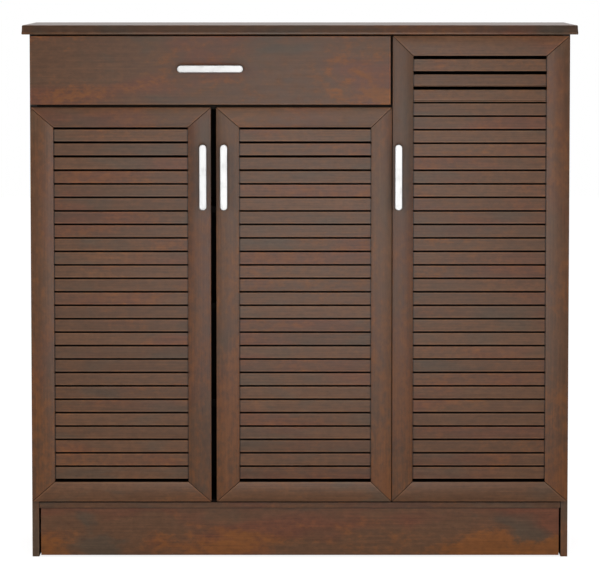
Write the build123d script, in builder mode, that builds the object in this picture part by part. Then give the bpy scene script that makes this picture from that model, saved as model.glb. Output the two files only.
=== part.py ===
"""Free-standing shoe cabinet with three louvred doors and one drawer.

Millimetres. X runs to the right, Y runs back, Z runs up, and the doors face -Y.
The origin is on the floor, at the middle of the cabinet's overall box.
"""

import os
from math import atan2, degrees

from build123d import *

# ---------------------------------------------------------------- driving sizes
# overall
height = 1155.0
carcass_width = 1164.0
carcass_depth = 368.0
board = 15.0

# top board
top_thickness = 20.0
top_side_overhang = 14.7
top_front_overhang = 12.0  # past the door faces
lip_height = 5.0
lip_step = 0.3
top_draft = 3.5  # degrees
top_edge_radius = 2.0
lip_edge_radius = 1.6

# plinth and bottom
plinth_height = 106.5
plinth_recess = 2.0
plinth_side_gap = 3.8
plinth_foot_gap = 3.0
bottom_thickness = 18.0
bottom_overlap = 1.0  # doors over the bottom board

# fronts
door_thickness = 18.0
door_back_gap = 2.0
edge_reveal = 1.7
top_reveal = 3.0
left_door_width = 388.6
middle_door_width = 378.4
pair_gap = 11.4
meeting_gap = 1.4
drawer_side_gap = 4.0
drawer_front_height = 148.2
drawer_bottom_gap = 5.6

# door frames
stile_width = 49.5
meeting_stile_width = 44.5  # the two stiles that meet in front of the partition
rail_width = 43.0
frame_crown = 1.2  # how far the faces dome
mitre_gap = 0.6
front_edge_radius = 1.5

# slats
slat_face = 26.1
slat_gap = 3.1
slat_bottom_gap = 6.0
slat_thickness = 7.0
slat_recess = 5.0
slat_fall = 1.2  # how far the bevelled edges drop towards the back
slat_housing = 4.5
housing_clearance = 0.15
wide_gap_count = 3

# back, shelves and rails
back_thickness = 4.0
back_inset = 3.0
back_groove = 6.0
groove_clearance = 0.15
rail_depth = 80.0
shelf_thickness = 15.0
shelf_front_setback = 60.0
shelf_side_clearance = 0.5
wide_shelf_count = 3
tall_shelf_count = 4
pin_diameter = 5.0
pin_hole_depth = 7.0
pin_reach = 8.0
pin_inset = 45.0
pin_clearance = 0.15
pin_seat_gap = 0.1
divider_thickness = 15.0

# drawer box
slide_space = 13.0
drawer_board = 12.0
drawer_box_height = 105.0
drawer_box_depth = 320.0
drawer_box_lift = 11.5
drawer_bottom_thickness = 4.0
drawer_bottom_inset = 12.0
drawer_groove = 6.0

# drawer slides
slide_length = 300.0
slide_setback = 6.0
slide_height = 45.0
slide_wall = 1.5
slide_running_gap = 0.3
slide_level = 46.0  # slide's middle over the box's lower edge

# pulls
pull_length = 143.0
pull_width = 17.0
pull_thickness = 8.0
pull_projection = 28.0
pull_centres = 128.0
pull_chamfer = 1.6
pull_rim = 3.4
pull_dish = 0.5
pull_post_diameter = 10.0
pull_post_sides = 16
pull_inset = 16.8
right_pull_inset = 12.6
pull_drop = 149.2  # from the low doors' top to the uprights pulls' middle
drawer_pull_rise = 4.0

# concealed hinges; "in" is measured from the door's hinged edge, "fore" from the carcass front
cup_diameter = 35.0
cup_depth = 12.5
cup_wall = 1.2
cup_fit = 0.2
cup_in = 22.0
cup_flange_thickness = 1.0
cup_flange_margin = 1.5
cup_flange_length = 52.0
cup_flange_width = 15.0
hinge_end_distance = 95.0
arm_width = 10.0
arm_wall = 1.2
arm_web = 1.5
arm_height = 11.0
arm_rear = 62.0
arm_block = 12.0
arm_bend = 10.0
nose_in = 34.0
nose_fore = 10.0
nose_radius = 2.4
link_pin_diameter = 2.4
link_pin_clearance = 0.2
link_width = 7.0
link_radius = 2.0
link_end_in = 12.5
link_end_fore = 6.0
plate_thickness = 2.5
plate_length = 38.0
plate_height = 48.0
plate_setback = 20.0

# small hardware
bumper_diameter = 4.0
bumper_air = 0.2
bumper_inset = 15.0
small_round_sides = 12  # pins and other small turned pieces
cup_sides = 20

# ------------------------------------------------------------- derived positions
side_outer = carcass_width / 2
side_inner = side_outer - board
top_width = carcass_width + 2 * (top_side_overhang + lip_step)
total_depth = (carcass_depth + door_back_gap + door_thickness
               + max(pull_projection, top_front_overhang))
back_y = total_depth / 2
carcass_front = back_y - carcass_depth
door_back = carcass_front - door_back_gap
door_face = door_back - door_thickness
top_front = door_face - top_front_overhang
frame_edge_face = door_face + frame_crown
pull_face = door_face - pull_projection

top_under = height - top_thickness
bottom_upper = plinth_height + bottom_thickness
door_bottom = bottom_upper - bottom_overlap
front_top = top_under - top_reveal
drawer_front_bottom = front_top - drawer_front_height
low_door_top = drawer_front_bottom - drawer_bottom_gap
pull_level = low_door_top - pull_drop

left_door_x0 = -side_outer + edge_reveal
left_door_x1 = left_door_x0 + left_door_width
middle_door_x0 = left_door_x1 + pair_gap
middle_door_x1 = middle_door_x0 + middle_door_width
right_door_x0 = middle_door_x1 + meeting_gap
right_door_x1 = side_outer - edge_reveal
drawer_front_x0 = left_door_x0
drawer_front_x1 = right_door_x0 - drawer_side_gap

partition_centre = (middle_door_x1 + right_door_x0) / 2
partition_x0 = partition_centre - board / 2
partition_x1 = partition_centre + board / 2
divider_centre = drawer_front_bottom - drawer_bottom_gap / 2
divider_upper = divider_centre + divider_thickness / 2
divider_lower = divider_centre - divider_thickness / 2
back_outer = back_y - back_inset
back_face = back_outer - back_thickness

os.makedirs("parts", exist_ok=True)


def save(piece, name):
    """Label a finished piece and write its STEP file."""
    piece.part.label = name
    export_step(piece.part, f"parts/{name}.step")


def box_between(x0, x1, y0, y1, z0, z1, mode=Mode.ADD):
    """A block between two corners, for use inside a part."""
    with Locations(((x0 + x1) / 2, (y0 + y1) / 2, (z0 + z1) / 2)):
        Box(x1 - x0, y1 - y0, z1 - z0, mode=mode)


def small_round(radius, mode=Mode.ADD):
    """The outline of a small turned piece, with few flats, for use inside a sketch."""
    RegularPolygon(radius, small_round_sides, mode=mode)


# ------------------------------------------------------------------- top board
with BuildPart() as top_panel:
    with BuildSketch(Plane.XY.offset(top_under)):
        with Locations((0, (top_front + back_y) / 2)):
            Rectangle(top_width, back_y - top_front)
    extrude(amount=lip_height)
    fillet(top_panel.faces().sort_by(Axis.Z)[0].edges(), lip_edge_radius)
    with BuildSketch(Plane.XY.offset(top_under + lip_height)):
        with Locations((0, (top_front + back_y) / 2)):
            Rectangle(top_width - 2 * lip_step, back_y - top_front - 2 * lip_step)
    extrude(amount=top_thickness - lip_height, taper=top_draft)
    fillet(top_panel.faces().sort_by(Axis.Z)[-1].edges(), top_edge_radius)
save(top_panel, "top_panel")

# ----------------------------------------------------------------- shelf levels
def shelf_levels(count, ceiling):
    """Upper faces of evenly spaced shelves between the bottom board and a ceiling."""
    clear = ceiling - bottom_upper
    return [bottom_upper + clear * (i + 1) / (count + 1) for i in range(count)]


wide_levels = shelf_levels(wide_shelf_count, divider_lower)
tall_levels = shelf_levels(tall_shelf_count, top_under)
shelf_front = carcass_front + shelf_front_setback
shelf_back = back_face - shelf_side_clearance
pin_rows = (shelf_front + pin_inset, shelf_back - pin_inset)


def pin_places(levels):
    """Y and Z of the pins' axes below each shelf."""
    drop = shelf_thickness + pin_seat_gap + pin_diameter / 2
    return [(y, level - drop) for level in levels for y in pin_rows]


# ---------------------------------------------------------------- upright boards
def pin_holes(face_x, into, places):
    """Shelf pin holes in an upright's face; into is the way they go."""
    with BuildSketch(Plane.YZ.offset(face_x)) as holes:
        with Locations(*places):
            small_round(pin_diameter / 2 + pin_clearance)
    extrude(holes.sketch, amount=into * (pin_hole_depth + pin_clearance), mode=Mode.SUBTRACT)


def side_panel(name, inner_x, outward, places):
    """A side board, grooved for the back board and drilled for shelf pins."""
    x0, x1 = sorted((inner_x, inner_x + outward * board))
    with BuildPart() as side:
        box_between(x0, x1, carcass_front, back_y, 0, top_under)
        groove_end = inner_x + outward * (back_groove + groove_clearance)
        groove_x0, groove_x1 = sorted((inner_x, groove_end))
        groove_y0 = back_face - groove_clearance
        groove_y1 = back_outer + groove_clearance
        box_between(groove_x0, groove_x1, groove_y0, groove_y1, plinth_height, top_under,
                    Mode.SUBTRACT)
        pin_holes(inner_x, outward, places)
    save(side, name)


wide_pins = pin_places(wide_levels)
tall_pins = pin_places(tall_levels)
side_panel("left_side_panel", -side_inner, -1, wide_pins)
side_panel("right_side_panel", side_inner, 1, tall_pins)

with BuildPart() as partition_panel:
    box_between(partition_x0, partition_x1, carcass_front, back_face, bottom_upper, top_under)
    pin_holes(partition_x0, 1, wide_pins)
    pin_holes(partition_x1, -1, tall_pins)
save(partition_panel, "partition_panel")

with BuildPart() as shelf_pins:
    for face_x, outward, places in (
        (-side_inner, -1, wide_pins),
        (partition_x0, 1, wide_pins),
        (partition_x1, -1, tall_pins),
        (side_inner, 1, tall_pins),
    ):
        with BuildSketch(Plane.YZ.offset(face_x - outward * pin_reach)):
            with Locations(*places):
                small_round(pin_diameter / 2)
        extrude(amount=outward * (pin_reach + pin_hole_depth))
save(shelf_pins, "shelf_pins")

# --------------------------------------------------------- boards between uprights
with BuildPart() as bottom_panel:
    box_between(-side_inner, side_inner, carcass_front, back_face, plinth_height, bottom_upper)
save(bottom_panel, "bottom_panel")

with BuildPart() as drawer_divider:
    box_between(-side_inner, partition_x0, carcass_front, back_face, divider_lower, divider_upper)
save(drawer_divider, "drawer_divider")

with BuildPart() as back_panel:
    reach = side_inner + back_groove
    box_between(-reach, reach, back_face, back_outer, plinth_height, top_under)
save(back_panel, "back_panel")


def top_rails(name, y0):
    """A flat rail under the top board in each bay, both at the same depth."""
    with BuildPart() as rails:
        for x0, x1 in ((-side_inner, partition_x0), (partition_x1, side_inner)):
            box_between(x0, x1, y0, y0 + rail_depth, top_under - board, top_under)
        save(rails, name)


top_rails("front_top_rails", carcass_front)
top_rails("rear_top_rails", back_face - rail_depth)


def shelves(name, levels, x0, x1):
    """Loose shelves that lie on the pins of one bay."""
    with BuildPart() as boards:
        for level in levels:
            box_between(x0 + shelf_side_clearance, x1 - shelf_side_clearance,
                        shelf_front, shelf_back, level - shelf_thickness, level)
    save(boards, name)


shelves("wide_bay_shelves", wide_levels, -side_inner, partition_x0)
shelves("tall_bay_shelves", tall_levels, partition_x1, side_inner)

# ---------------------------------------------------------------------- plinth
plinth_front = carcass_front + plinth_recess

with BuildPart() as plinth_board:
    plinth_end = side_inner - plinth_side_gap
    box_between(-plinth_end, plinth_end, plinth_front, plinth_front + board,
                plinth_foot_gap, plinth_height)
save(plinth_board, "plinth_board")

with BuildPart() as plinth_rear_board:
    box_between(-side_inner, side_inner, back_face - board, back_face,
                plinth_foot_gap, plinth_height)
save(plinth_rear_board, "plinth_rear_board")

with BuildPart() as plinth_brace:
    box_between(partition_x0, partition_x1, plinth_front + board, back_face - board,
                plinth_foot_gap, plinth_height)
save(plinth_brace, "plinth_brace")

# --------------------------------------------------------------- bumpers on edges
divider_stop = (divider_lower + low_door_top) / 2
partition_stop = (right_door_x0 + partition_x1) / 2
drawer_stop_right = (partition_x0 + drawer_front_x1) / 2
drawer_stop_left = -side_outer + board / 2
drawer_stop_low = drawer_front_bottom + bumper_inset
drawer_stop_high = front_top - bumper_inset

with BuildPart() as door_bumpers:
    with BuildSketch(Plane.XZ.offset(-carcass_front)):
        with Locations(
            (left_door_x1 - bumper_inset, divider_stop),
            (middle_door_x0 + bumper_inset, divider_stop),
            (partition_stop, bottom_upper + bumper_inset),
            (partition_stop, front_top - bumper_inset),
            (drawer_stop_left, drawer_stop_low),
            (drawer_stop_left, drawer_stop_high),
            (drawer_stop_right, drawer_stop_low),
            (drawer_stop_right, drawer_stop_high),
        ):
            small_round(bumper_diameter / 2)
    extrude(amount=door_back_gap - bumper_air)
save(door_bumpers, "door_bumpers")


# ----------------------------------------------------------------------- pulls
def post_places(x, z, upright_bar):
    """The two post centres of a pull, in X and Z."""
    half = pull_centres / 2
    if upright_bar:
        return [(x, z - half), (x, z + half)]
    return [(x - half, z), (x + half, z)]


def pull(name, x, z, upright_bar):
    """A cast oblong bar with a bevelled rim and a shallow dished face on two posts."""
    turn = 90 if upright_bar else 0
    with BuildPart() as bar:
        with BuildSketch(Plane.XZ.offset(-(pull_face + pull_thickness))):
            with Locations((x, z)):
                SlotOverall(pull_length, pull_width, rotation=turn)
        extrude(amount=pull_thickness)
        chamfer(bar.faces().sort_by(Axis.Y)[0].edges(), pull_chamfer)
        with BuildSketch(Plane.XZ.offset(-pull_face)):
            with Locations((x, z)):
                SlotOverall(pull_length - 2 * pull_rim, pull_width - 2 * pull_rim, rotation=turn)
        extrude(amount=-pull_dish, mode=Mode.SUBTRACT)
        with BuildSketch(Plane.XZ.offset(-door_face)):
            with Locations(*post_places(x, z, upright_bar)):
                RegularPolygon(pull_post_diameter / 2, pull_post_sides)
        extrude(amount=pull_projection - pull_thickness)
    save(bar, name)


# ------------------------------------------------------------- concealed hinges
def hinge_levels(door_top, count):
    """Heights of a door's hinges, evenly spaced between its two end distances."""
    low = door_bottom + hinge_end_distance
    high = door_top - hinge_end_distance
    return [low + (high - low) * i / (count - 1) for i in range(count)]


def hinge_place(edge, into, inwards, fore):
    """X and Y of a point given from the door's hinged edge and the carcass front."""
    return (edge + into * inwards, carcass_front - fore)


def hinge_arms(name, edge, into, panel_x, levels):
    """Cranked channel arms on their mounting plates, one at each level."""
    panel_in = (panel_x - edge) * into
    arm_back = panel_in + plate_thickness
    arm_front = arm_back + arm_height
    body = [(arm_back, -arm_rear), (arm_front, -arm_rear), (arm_front, -arm_bend),
            (arm_back, -arm_bend)]
    neck = [(arm_back, -arm_bend), (arm_front, -arm_bend),
            (nose_in + nose_radius * 0.8, nose_fore - nose_radius * 0.6),
            (nose_in - nose_radius * 0.8, nose_fore + nose_radius * 0.6)]
    hollow = [(arm_back, -(arm_rear - arm_block)), (arm_front - arm_web, -(arm_rear - arm_block)),
              (arm_front - arm_web, -arm_bend), (nose_in + nose_radius, nose_fore - 2 * nose_radius),
              (nose_in + 2 * nose_radius, nose_fore + 2 * nose_radius),
              (nose_in - 2 * nose_radius, nose_fore + 2 * nose_radius),
              (arm_back - arm_web, -arm_bend), (arm_back - arm_web, -(arm_rear - arm_block))]
    with BuildPart() as arms:
        for level in levels:
            with BuildSketch(Plane.XY.offset(level - arm_width / 2)):
                Polygon(*[hinge_place(edge, into, *p) for p in body], align=None)
                Polygon(*[hinge_place(edge, into, *p) for p in neck], align=None)
                with Locations(hinge_place(edge, into, nose_in, nose_fore)):
                    small_round(nose_radius)
            extrude(amount=arm_width)
            inner_width = arm_width - 2 * arm_wall
            with BuildSketch(Plane.XY.offset(level - inner_width / 2)):
                Polygon(*[hinge_place(edge, into, *p) for p in hollow], align=None)
            extrude(amount=inner_width, mode=Mode.SUBTRACT)
            with BuildSketch(Plane.XY.offset(level - arm_width / 2)):
                with Locations(hinge_place(edge, into, nose_in, nose_fore)):
                    small_round(link_pin_diameter / 2)
            extrude(amount=arm_width)
            plate_x0, plate_x1 = sorted((panel_x, panel_x + into * plate_thickness))
            plate_y0 = carcass_front + plate_setback
            box_between(plate_x0, plate_x1, plate_y0, plate_y0 + plate_length,
                        level - plate_height / 2, level + plate_height / 2)
    save(arms, name)


def hinge_links(name, edge, into, levels):
    """The links that bridge each arm's nose and its cup."""
    nose = Vector(*hinge_place(edge, into, nose_in, nose_fore))
    end = Vector(*hinge_place(edge, into, link_end_in, link_end_fore))
    along = end - nose
    middle = (nose + end) / 2
    angle = degrees(atan2(along.Y, along.X))
    with BuildPart() as links:
        for level in levels:
            with BuildSketch(Plane.XY.offset(level - link_width / 2)):
                with Locations((middle.X, middle.Y)):
                    Rectangle(along.length, 2 * link_radius, rotation=angle)
                with Locations((nose.X, nose.Y), (end.X, end.Y)):
                    small_round(link_radius)
                with Locations((nose.X, nose.Y)):
                    small_round(link_pin_diameter / 2 + link_pin_clearance, Mode.SUBTRACT)
            extrude(amount=link_width)
    save(links, name)


def hinge_cups(name, edge, into, levels):
    """Flanged cups let into the back of the door's stile."""
    cup_x = edge + into * cup_in
    places = [(cup_x, level) for level in levels]
    outer = cup_diameter / 2 - cup_fit
    with BuildPart() as cups:
        with BuildSketch(Plane.XZ.offset(-door_back)):
            with Locations(*places):
                RegularPolygon(outer, cup_sides)
        extrude(amount=cup_depth)
        with BuildSketch(Plane.XZ.offset(-door_back)):
            with Locations(*places):
                RegularPolygon(outer + cup_flange_margin, cup_sides)
                Rectangle(cup_flange_width, cup_flange_length)
        extrude(amount=-cup_flange_thickness)
        with BuildSketch(Plane.XZ.offset(-(door_back + cup_flange_thickness))):
            with Locations(*places):
                RegularPolygon(outer - cup_wall, cup_sides)
        extrude(amount=cup_flange_thickness + cup_depth - cup_wall, mode=Mode.SUBTRACT)
    save(cups, name)


# ---------------------------------------------------------------- louvred doors
def slat_lowers(low, high):
    """Lower front edges of the slats, laid up from the bottom rail.

    The pitch is regular, and what is left over widens the gaps at the top.
    """
    pitch = slat_face + slat_gap
    count = int((high - low - slat_bottom_gap) / pitch)
    spare = high - low - slat_bottom_gap - count * pitch
    lowers = []
    for i in range(count):
        widened = max(0, i + wide_gap_count - count)
        lowers.append(low + slat_bottom_gap + i * pitch + widened * spare / wide_gap_count)
    return lowers


slat_front = frame_edge_face + slat_recess
slat_back = slat_front + slat_thickness
slat_outline = ((slat_front, 0), (slat_front, slat_face),
                (slat_back, slat_face - slat_fall), (slat_back, -slat_fall))


def slat_profiles(lowers, clearance=0.0):
    """All slat sections of a door, grown by a clearance, in Y and Z."""
    with Locations(*[(0, lower) for lower in lowers]):
        Polygon(*slat_outline, align=None)
    if clearance:
        offset(amount=clearance, kind=Kind.INTERSECTION)


def frame_section(start, end):
    """A frame member's section: square back and edges, gently domed face."""
    with BuildLine() as outline:
        Polyline((start, frame_edge_face), (start, door_back), (end, door_back),
                 (end, frame_edge_face))
        ThreePointArc((end, frame_edge_face), ((start + end) / 2, door_face),
                      (start, frame_edge_face))
    make_face(outline.edges())


def rail_section(low, high):
    """The same section for a rail, in Y and Z."""
    with BuildLine() as outline:
        Polyline((frame_edge_face, low), (door_back, low), (door_back, high),
                 (frame_edge_face, high))
        ThreePointArc((frame_edge_face, high), (door_face, (low + high) / 2),
                      (frame_edge_face, low))
    make_face(outline.edges())


def mitred(corners):
    """Keep what lies inside an outline seen from the front."""
    with BuildSketch(Plane.XZ.offset(-door_back)) as outline:
        Polygon(*corners, align=None)
    extrude(outline.sketch, amount=door_thickness, mode=Mode.INTERSECT)


def stile(name, outer_x, inner_x, z0, z1, lowers, cup_levels):
    """An upright of the frame with its slat housings and any cup bores."""
    into = 1 if inner_x > outer_x else -1
    with BuildPart() as upright:
        with BuildSketch(Plane.XY.offset(z0)):
            frame_section(min(outer_x, inner_x), max(outer_x, inner_x))
        extrude(amount=z1 - z0)
        mitred([(outer_x, z0 + mitre_gap), (inner_x, z0 + rail_width + mitre_gap),
                (inner_x, z1 - rail_width - mitre_gap), (outer_x, z1 - mitre_gap)])
        with BuildSketch(Plane.YZ.offset(inner_x)):
            slat_profiles(lowers, housing_clearance)
        extrude(amount=-into * (slat_housing + housing_clearance), mode=Mode.SUBTRACT)
        if cup_levels:
            with BuildSketch(Plane.XZ.offset(-door_back)):
                with Locations(*[(outer_x + into * cup_in, level) for level in cup_levels]):
                    RegularPolygon(cup_diameter / 2, cup_sides)
            extrude(amount=cup_depth + cup_fit, mode=Mode.SUBTRACT)
    save(upright, name)


def rail(name, x0, x1, inner_x0, inner_x1, outer_z, into):
    """A cross member of the frame, mitred to the stiles."""
    inner_z = outer_z + into * rail_width
    with BuildPart() as cross:
        with BuildSketch(Plane.YZ.offset(x0)):
            rail_section(min(outer_z, inner_z), max(outer_z, inner_z))
        extrude(amount=x1 - x0)
        mitred([(x0, outer_z), (x1, outer_z), (inner_x1, inner_z), (inner_x0, inner_z)])
    save(cross, name)


def louvred_door(side, x0, x1, left_width, right_width, z1, hinged_left, panel_x, hinge_count,
                 pull_edge_distance):
    """A louvred door with its slats, hinges and pull."""
    z0 = door_bottom
    inner_x0 = x0 + left_width
    inner_x1 = x1 - right_width
    lowers = slat_lowers(z0 + rail_width, z1 - rail_width)
    levels = hinge_levels(z1, hinge_count)
    pull_x = x1 - pull_edge_distance if hinged_left else x0 + pull_edge_distance
    left_cups, right_cups = (levels, []) if hinged_left else ([], levels)
    stile(f"{side}_door_left_stile", x0, inner_x0, z0, z1, lowers, left_cups)
    stile(f"{side}_door_right_stile", x1, inner_x1, z0, z1, lowers, right_cups)
    rail(f"{side}_door_bottom_rail", x0, x1, inner_x0, inner_x1, z0, 1)
    rail(f"{side}_door_top_rail", x0, x1, inner_x0, inner_x1, z1, -1)
    with BuildPart() as slats:
        slat_x0 = inner_x0 - slat_housing
        slat_x1 = inner_x1 + slat_housing
        with BuildSketch(Plane.YZ.offset(slat_x0)):
            slat_profiles(lowers)
        extrude(amount=slat_x1 - slat_x0)
    save(slats, f"{side}_door_slats")
    edge = x0 if hinged_left else x1
    into = 1 if hinged_left else -1
    hinge_cups(f"{side}_door_hinge_cups", edge, into, levels)
    hinge_links(f"{side}_door_hinge_links", edge, into, levels)
    hinge_arms(f"{side}_door_hinge_arms", edge, into, panel_x, levels)
    pull(f"{side}_door_pull", pull_x, pull_level, True)


louvred_door("left", left_door_x0, left_door_x1, stile_width, stile_width, low_door_top,
             True, -side_inner, 2, pull_inset)
louvred_door("middle", middle_door_x0, middle_door_x1, stile_width, meeting_stile_width,
             low_door_top, False, partition_x0, 2, pull_inset)
louvred_door("right", right_door_x0, right_door_x1, meeting_stile_width, stile_width, front_top,
             False, side_inner, 3, right_pull_inset)

# ---------------------------------------------------------------------- drawer
drawer_pull_at = ((drawer_front_x0 + drawer_front_x1) / 2,
                  (drawer_front_bottom + front_top) / 2 + drawer_pull_rise)
box_x0 = -side_inner + slide_space
box_x1 = partition_x0 - slide_space
box_front = door_back
box_back = box_front + drawer_box_depth
box_low = divider_upper + drawer_box_lift
box_high = box_low + drawer_box_height
groove_low = box_low + drawer_bottom_inset
groove_high = groove_low + drawer_bottom_thickness


def groove_for_bottom():
    """The groove that holds the drawer's bottom, cut in whatever it meets."""
    box_between(box_x0 + drawer_board - drawer_groove - groove_clearance,
                box_x1 - drawer_board + drawer_groove + groove_clearance,
                box_front + drawer_board - drawer_groove - groove_clearance,
                box_back - drawer_board + drawer_groove + groove_clearance,
                groove_low - groove_clearance, groove_high + groove_clearance, Mode.SUBTRACT)


with BuildPart() as drawer_front:
    box_between(drawer_front_x0, drawer_front_x1, door_face, door_back,
                drawer_front_bottom, front_top)
    fillet(drawer_front.faces().sort_by(Axis.Y)[0].edges(), front_edge_radius)
save(drawer_front, "drawer_front")

with BuildPart() as drawer_box_front:
    box_between(box_x0 + drawer_board, box_x1 - drawer_board, box_front,
                box_front + drawer_board, box_low, box_high)
    groove_for_bottom()
save(drawer_box_front, "drawer_box_front")

with BuildPart() as drawer_box_back:
    box_between(box_x0 + drawer_board, box_x1 - drawer_board, box_back - drawer_board,
                box_back, box_low, box_high)
    groove_for_bottom()
save(drawer_box_back, "drawer_box_back")

for hand, x0 in (("left", box_x0), ("right", box_x1 - drawer_board)):
    with BuildPart() as drawer_side:
        box_between(x0, x0 + drawer_board, box_front, box_back, box_low, box_high)
        groove_for_bottom()
    save(drawer_side, f"drawer_box_{hand}_side")

with BuildPart() as drawer_box_bottom:
    box_between(box_x0 + drawer_board - drawer_groove, box_x1 - drawer_board + drawer_groove,
                box_front + drawer_board - drawer_groove, box_back - drawer_board + drawer_groove,
                groove_low, groove_high)
save(drawer_box_bottom, "drawer_box_bottom")

pull("drawer_pull", *drawer_pull_at, False)


# --------------------------------------------------------------- drawer slides
slide_middle = box_low + slide_level
slide_front = carcass_front + slide_setback
channel_depth = slide_space - slide_wall - slide_running_gap


def channel(face_x, into, depth, tall):
    """A channel on a board's face with its open side turned away from the board."""
    x0, x1 = sorted((face_x, face_x + into * depth))
    box_between(x0, x1, slide_front, slide_front + slide_length,
                slide_middle - tall / 2, slide_middle + tall / 2)
    x0, x1 = sorted((face_x + into * slide_wall, face_x + into * depth))
    box_between(x0, x1, slide_front, slide_front + slide_length,
                slide_middle - tall / 2 + slide_wall, slide_middle + tall / 2 - slide_wall,
                Mode.SUBTRACT)


with BuildPart() as slide_channels:
    channel(-side_inner, 1, channel_depth, slide_height)
    channel(partition_x0, -1, channel_depth, slide_height)
save(slide_channels, "slide_channels")

runner_height = slide_height - 2 * slide_wall - 2 * slide_running_gap
with BuildPart() as slide_runners:
    channel(box_x0, -1, channel_depth, runner_height)
    channel(box_x1, 1, channel_depth, runner_height)
save(slide_runners, "slide_runners")
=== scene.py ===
"""Dresses the louvred shoe cabinet for its render. Metres and radians throughout."""

from math import hypot, pi, radians

import bmesh
import bpy
from mathutils import Matrix, Vector


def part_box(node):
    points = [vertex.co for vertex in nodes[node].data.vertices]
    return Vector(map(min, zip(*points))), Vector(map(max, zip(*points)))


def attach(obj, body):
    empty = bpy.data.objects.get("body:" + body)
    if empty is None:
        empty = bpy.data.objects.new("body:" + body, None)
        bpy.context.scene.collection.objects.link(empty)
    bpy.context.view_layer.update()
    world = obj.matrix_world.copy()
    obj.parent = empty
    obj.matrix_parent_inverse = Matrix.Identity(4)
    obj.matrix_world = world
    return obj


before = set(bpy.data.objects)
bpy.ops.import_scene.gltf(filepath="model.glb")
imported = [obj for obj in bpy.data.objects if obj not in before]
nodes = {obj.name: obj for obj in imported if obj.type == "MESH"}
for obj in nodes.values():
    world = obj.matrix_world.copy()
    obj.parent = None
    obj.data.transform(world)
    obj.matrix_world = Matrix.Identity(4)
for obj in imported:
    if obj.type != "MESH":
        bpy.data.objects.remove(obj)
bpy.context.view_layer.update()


# ------------------------------------------------------------------ carcass boards
# The sides, bottom and plinth are 15 and 18 mm boards with a walnut face under stain and
# lacquer, dowelled and glued together. Shade is painted on the sides' inner faces and on
# their front edges behind the doors, on the bottom board and along the plinth's top.

MM = 0.001

edge_softening = 0.5 * MM
softening_steps = 2
joining_distance = 0.002 * MM
sharp_angle = radians(40)
flat_face_weight = 100

patch_stretch = (5.0, 12.0, 12.0)
drift_stretch = (3.2, 8.0, 8.0)
mottle_stretch = (56.0, 90.0, 90.0)
streak_stretch = (24.0, 150.0, 150.0)
fibre_stretch = (7.0, 330.0, 330.0)
pore_stretch = (70.0, 1300.0, 1300.0)
board_offsets = (9.0, 7.0, 11.0)

ground_brown = (0.117, 0.050, 0.0205, 1)
smoky_brown = (0.085, 0.050, 0.028, 1)
russet = (0.135, 0.043, 0.018, 1)
amber = (0.185, 0.060, 0.010, 1)

# The levels of a noise between which its effect comes in, and the tones it gives there.
usual_levels = (0.3, 0.7)
smoky_levels = (0.50, 0.66)
russet_levels = (0.48, 0.66)
amber_levels = (0.52, 0.94)
fibre_levels = (0.25, 0.75)
pore_levels = (0.62, 0.74)
board_tones = (0.93, 1.09)
mottle_tones = (0.87, 1.14)
streak_tones = (0.94, 1.06)
fibre_tones = (0.88, 1.12)
pore_tone = 0.72
pore_depth = 0.8

lacquer_roughness = 0.31
lacquer_unevenness = (-0.03, 0.04)
fibre_relief = 0.05 * MM


def put(tree, kind, inputs=None, **settings):
    """Add a node; each named or numbered input takes a value or another node's output."""
    made = tree.nodes.new(kind)
    for name, value in settings.items():
        setattr(made, name, value)
    for key, value in (inputs or {}).items():
        if isinstance(value, bpy.types.NodeSocket):
            tree.links.new(value, made.inputs[key])
        else:
            made.inputs[key].default_value = value
    return made


def calculate(tree, operation, first, second=0.5):
    """The result of one sum on one or two numbers."""
    return put(tree, "ShaderNodeMath", {0: first, 1: second}, operation=operation).outputs[0]


def stretched(tree, place, scale):
    """Coordinates scaled along each axis."""
    node = put(tree, "ShaderNodeVectorMath", {0: place, 1: scale}, operation="MULTIPLY")
    return node.outputs[0]


def noise(tree, place, scale, detail=3.0, roughness=0.55, distortion=0.0):
    """A noise pattern, finer along the axes with the larger scales."""
    node = put(tree, "ShaderNodeTexNoise", {
        "Vector": stretched(tree, place, scale), "Scale": 1.0, "Detail": detail,
        "Roughness": roughness, "Distortion": distortion})
    return node.outputs["Fac"]


def between(tree, value, low, high, to_low=0.0, to_high=1.0):
    """A value taken smoothly from one range to another."""
    node = put(tree, "ShaderNodeMapRange", {
        "Value": value, "From Min": low, "From Max": high, "To Min": to_low,
        "To Max": to_high}, interpolation_type="SMOOTHSTEP")
    return node.outputs["Result"]


def mixed(tree, share, first, second):
    """Two colours mixed by a share."""
    node = put(tree, "ShaderNodeMix", {0: share, 6: first, 7: second}, data_type="RGBA")
    return node.outputs[2]


def new_group(name, inputs, outputs):
    """An empty shader node group with its input and output nodes."""
    group = bpy.data.node_groups.new(name, "ShaderNodeTree")
    for label, kind, value in inputs:
        socket = group.interface.new_socket(name=label, in_out="INPUT", socket_type=kind)
        if value is not None:
            socket.default_value = value
    for label, kind in outputs:
        group.interface.new_socket(name=label, in_out="OUTPUT", socket_type=kind)
    start = put(group, "NodeGroupInput")
    end = put(group, "NodeGroupOutput")
    return group, start.outputs, end.inputs


def give(tree, output, socket):
    """Link an output to a socket."""
    tree.links.new(output, socket)


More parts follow.
